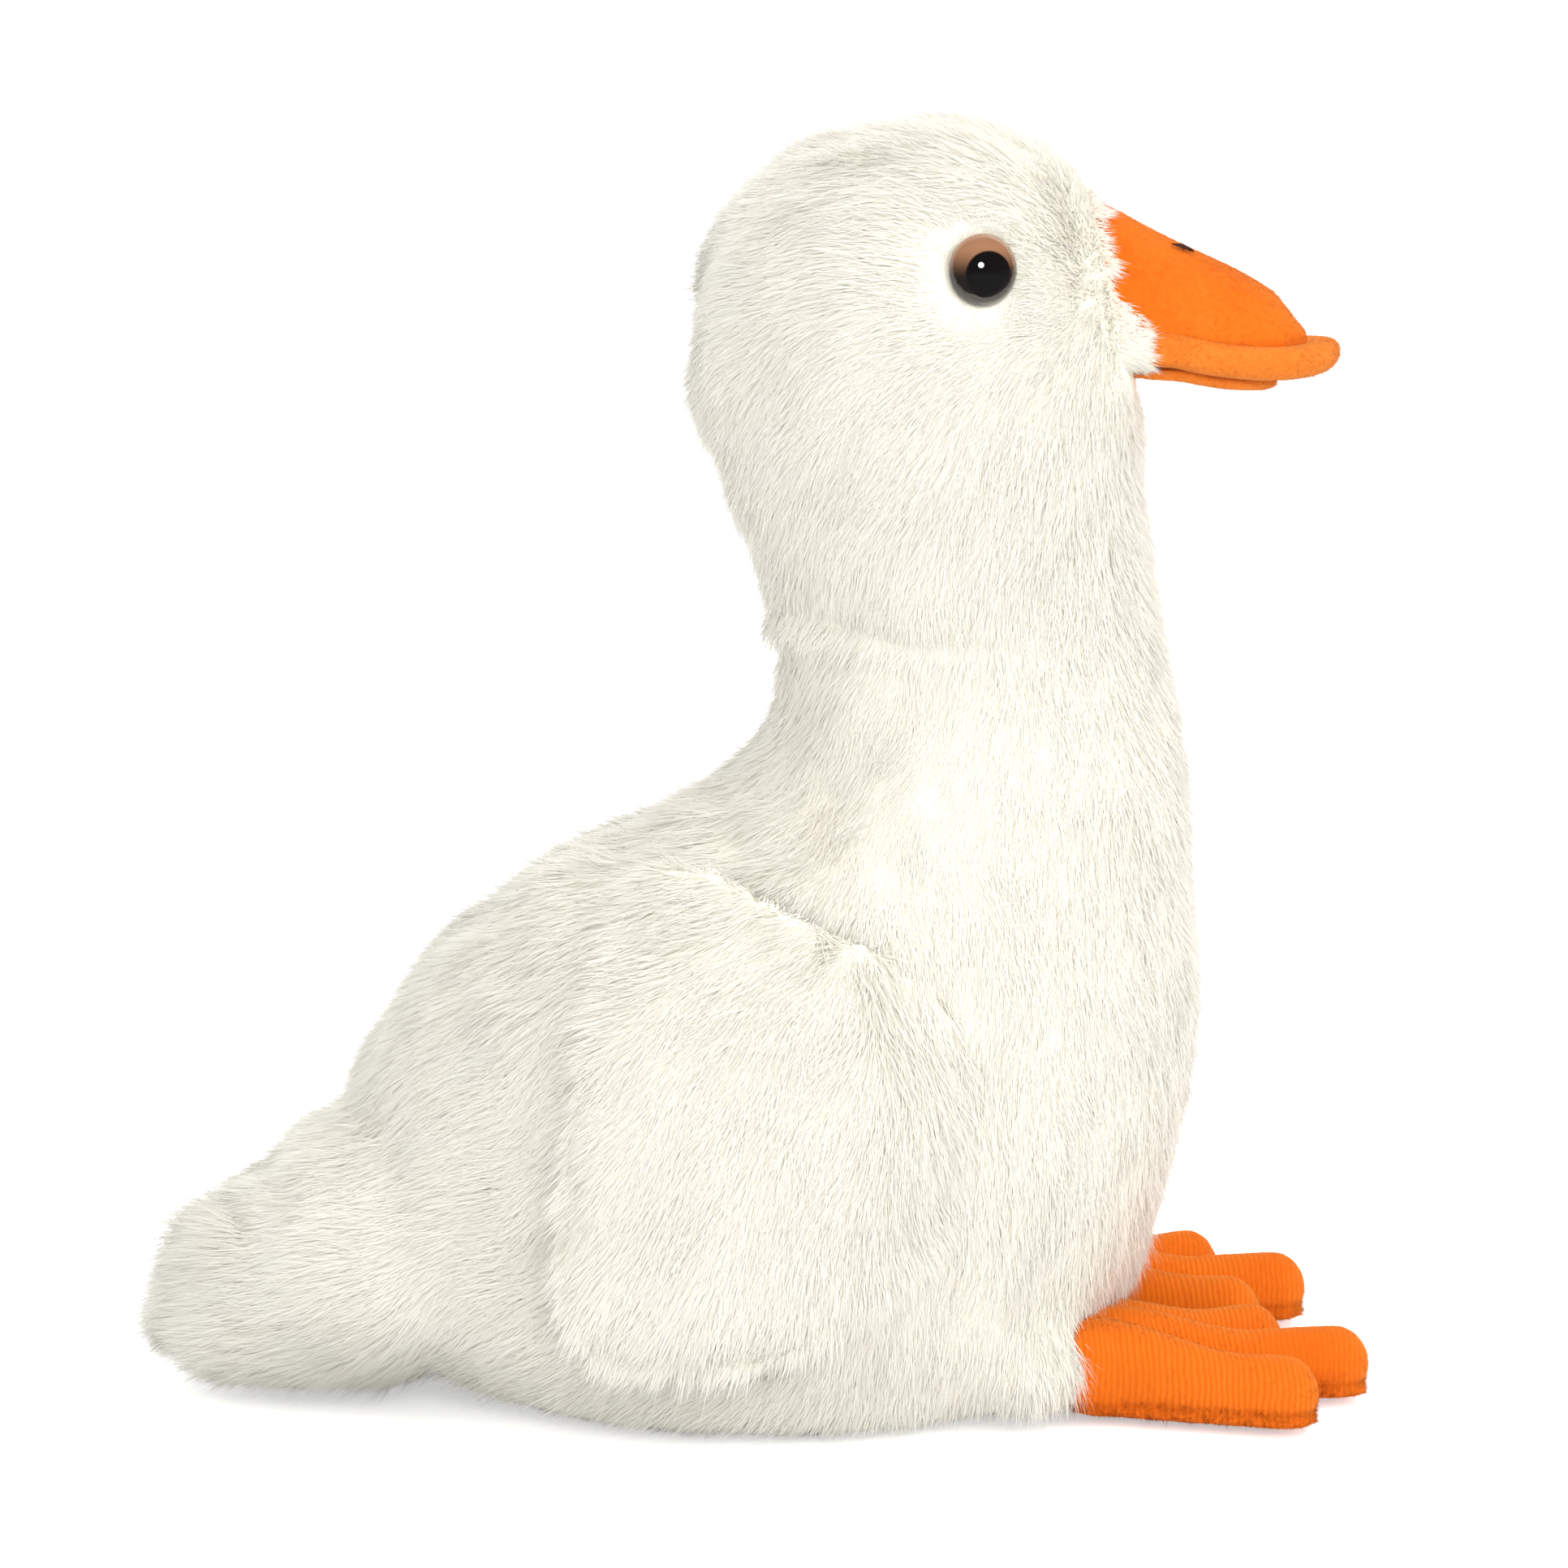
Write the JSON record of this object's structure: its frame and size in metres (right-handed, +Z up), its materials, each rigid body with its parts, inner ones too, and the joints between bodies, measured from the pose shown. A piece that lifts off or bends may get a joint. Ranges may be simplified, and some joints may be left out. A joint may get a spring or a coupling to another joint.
{
  "type": "plush goose",
  "caption": "Sitting plush goose with a fur body, turning and nodding head, opening velour bill, hinged wings, tail and webbed feet.",
  "frame": {"origin": "on the surface the goose sits on, under the middle of its bounding box", "axes": "+Z up, +X the way the bill points, +Y the goose's left"},
  "size_m": [0.232, 0.1528, 0.25],
  "materials": {
    "fur": "long soft pile, combed down and back",
    "lining": "short pile",
    "velour": "short pile with fine knit ribs",
    "thread": "twisted thread",
    "stuffing": "loose fibre",
    "pouch_cloth": "plain weave",
    "beans": "small round pellets",
    "eye": "polished dome with a brown iris and black pupil",
    "washer": "moulded"
  },
  "bodies": {
    "torso": {"body_side_left": "fur", "body_side_right": "fur", "belly_panel": "fur", "body_stuffing": "stuffing", "bean_pouch": "pouch_cloth", "bean_fill": "beans"},
    "neck": {"neck_cover_left": "fur", "neck_cover_right": "fur", "neck_stuffing": "stuffing"},
    "head": {"head_side_left": "fur", "head_side_right": "fur", "head_gusset": "fur", "head_stuffing": "stuffing", "eye_left": "eye", "eye_right": "eye", "eye_washer_left": "washer", "eye_washer_right": "washer", "upper_bill_cover": "velour", "bill_stuffing": "stuffing", "mouth_panel": "velour", "nostril_left": "thread", "nostril_right": "thread"},
    "lower_bill": {"lower_bill_cover": "velour", "lower_bill_padding": "stuffing"},
    "tail": {"tail_top_panel": "fur", "tail_under_panel": "fur", "tail_stuffing": "stuffing"},
    "wing_left": {"wing_cover_left": "fur", "wing_lining_left": "lining", "wing_padding_left": "stuffing"},
    "foot_left": {"foot_top_left": "velour", "foot_sole_left": "velour", "foot_stuffing_left": "stuffing"},
    "wing_right": {"wing_cover_right": "fur", "wing_lining_right": "lining", "wing_padding_right": "stuffing"},
    "foot_right": {"foot_top_right": "velour", "foot_sole_right": "velour", "foot_stuffing_right": "stuffing"}
  },
  "joints": [
    {"name": "neck_turn", "type": "hinge", "parent": "torso", "child": "neck", "pos_m": [0.042, 0, 0.12], "axis": [0, 0, 1], "range_deg": [-35, 35], "stiffness_Nm_per_rad": 0.5},
    {"name": "head_nod", "type": "hinge", "parent": "neck", "child": "head", "pos_m": [0.042, 0, 0.12], "axis": [0, 1, 0], "range_deg": [-12, 14], "stiffness_Nm_per_rad": 0.8},
    {"name": "lower_bill_open", "type": "hinge", "parent": "head", "child": "lower_bill", "pos_m": [0.076, 0, 0.2006], "axis": [0, 1, 0], "range_deg": [0, 12], "stiffness_Nm_per_rad": 0.02},
    {"name": "tail_lift", "type": "hinge", "parent": "torso", "child": "tail", "pos_m": [-0.066, 0, 0.06], "axis": [0, 1, 0], "range_deg": [0, 15], "stiffness_Nm_per_rad": 0.2},
    {"name": "wing_left_lift", "type": "hinge", "parent": "torso", "child": "wing_left", "pos_m": [0.003, 0.0485, 0.104], "axis": [0.8514, 0.4257, -0.3065], "range_deg": [0, 70]},
    {"name": "foot_left_lift", "type": "hinge", "parent": "torso", "child": "foot_left", "pos_m": [0.06, 0.029, 0.0078], "axis": [0.1219, -0.9925, 0], "range_deg": [-25, 12], "stiffness_Nm_per_rad": 0.05},
    {"name": "wing_right_lift", "type": "hinge", "parent": "torso", "child": "wing_right", "pos_m": [0.003, -0.0485, 0.104], "axis": [-0.8514, 0.4257, 0.3065], "range_deg": [0, 70]},
    {"name": "foot_right_lift", "type": "hinge", "parent": "torso", "child": "foot_right", "pos_m": [0.06, -0.029, 0.0078], "axis": [-0.1219, -0.9925, 0], "range_deg": [-25, 12], "stiffness_Nm_per_rad": 0.05}
  ]
}
